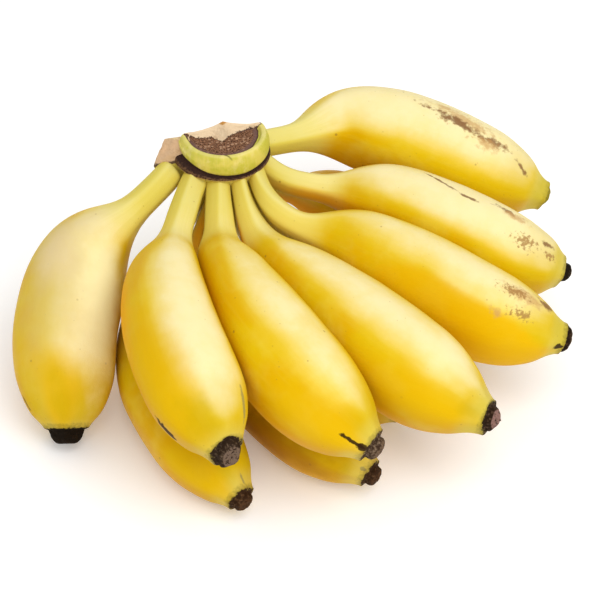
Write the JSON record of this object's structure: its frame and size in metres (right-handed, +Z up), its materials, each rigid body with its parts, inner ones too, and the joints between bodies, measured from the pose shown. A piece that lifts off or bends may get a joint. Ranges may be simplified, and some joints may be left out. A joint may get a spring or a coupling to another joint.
{
  "type": "hand of baby bananas",
  "caption": "Hand of short, chubby ripe baby bananas in two tiers, joined on one cut crown, with green-tinged stalks and dry brown tips. It lies crown up.",
  "frame": {"origin": "middle of the hand's footprint, on the surface that it lies on", "axes": "+Z up, from that surface to the crown; +X across the fan of fingers; -Y from the crown towards the foremost tips"},
  "size_m": [0.1894, 0.1666, 0.073],
  "materials": {
    "peel": "satin, waxy skin, golden below and pale above, green at the stalks, with fine brown specks",
    "crown": "matte yellow-green skin with a dark bract scar and a dry brown fibrous cut"
  },
  "bodies": {
    "root": {"crown": "crown", "upper_finger_1": "peel", "upper_finger_2": "peel", "upper_finger_3": "peel", "upper_finger_4": "peel", "upper_finger_5": "peel", "upper_finger_6": "peel", "upper_finger_7": "peel", "lower_finger_1": "peel", "lower_finger_2": "peel", "lower_finger_3": "peel", "lower_finger_4": "peel", "lower_finger_5": "peel"}
  },
  "joints": []
}
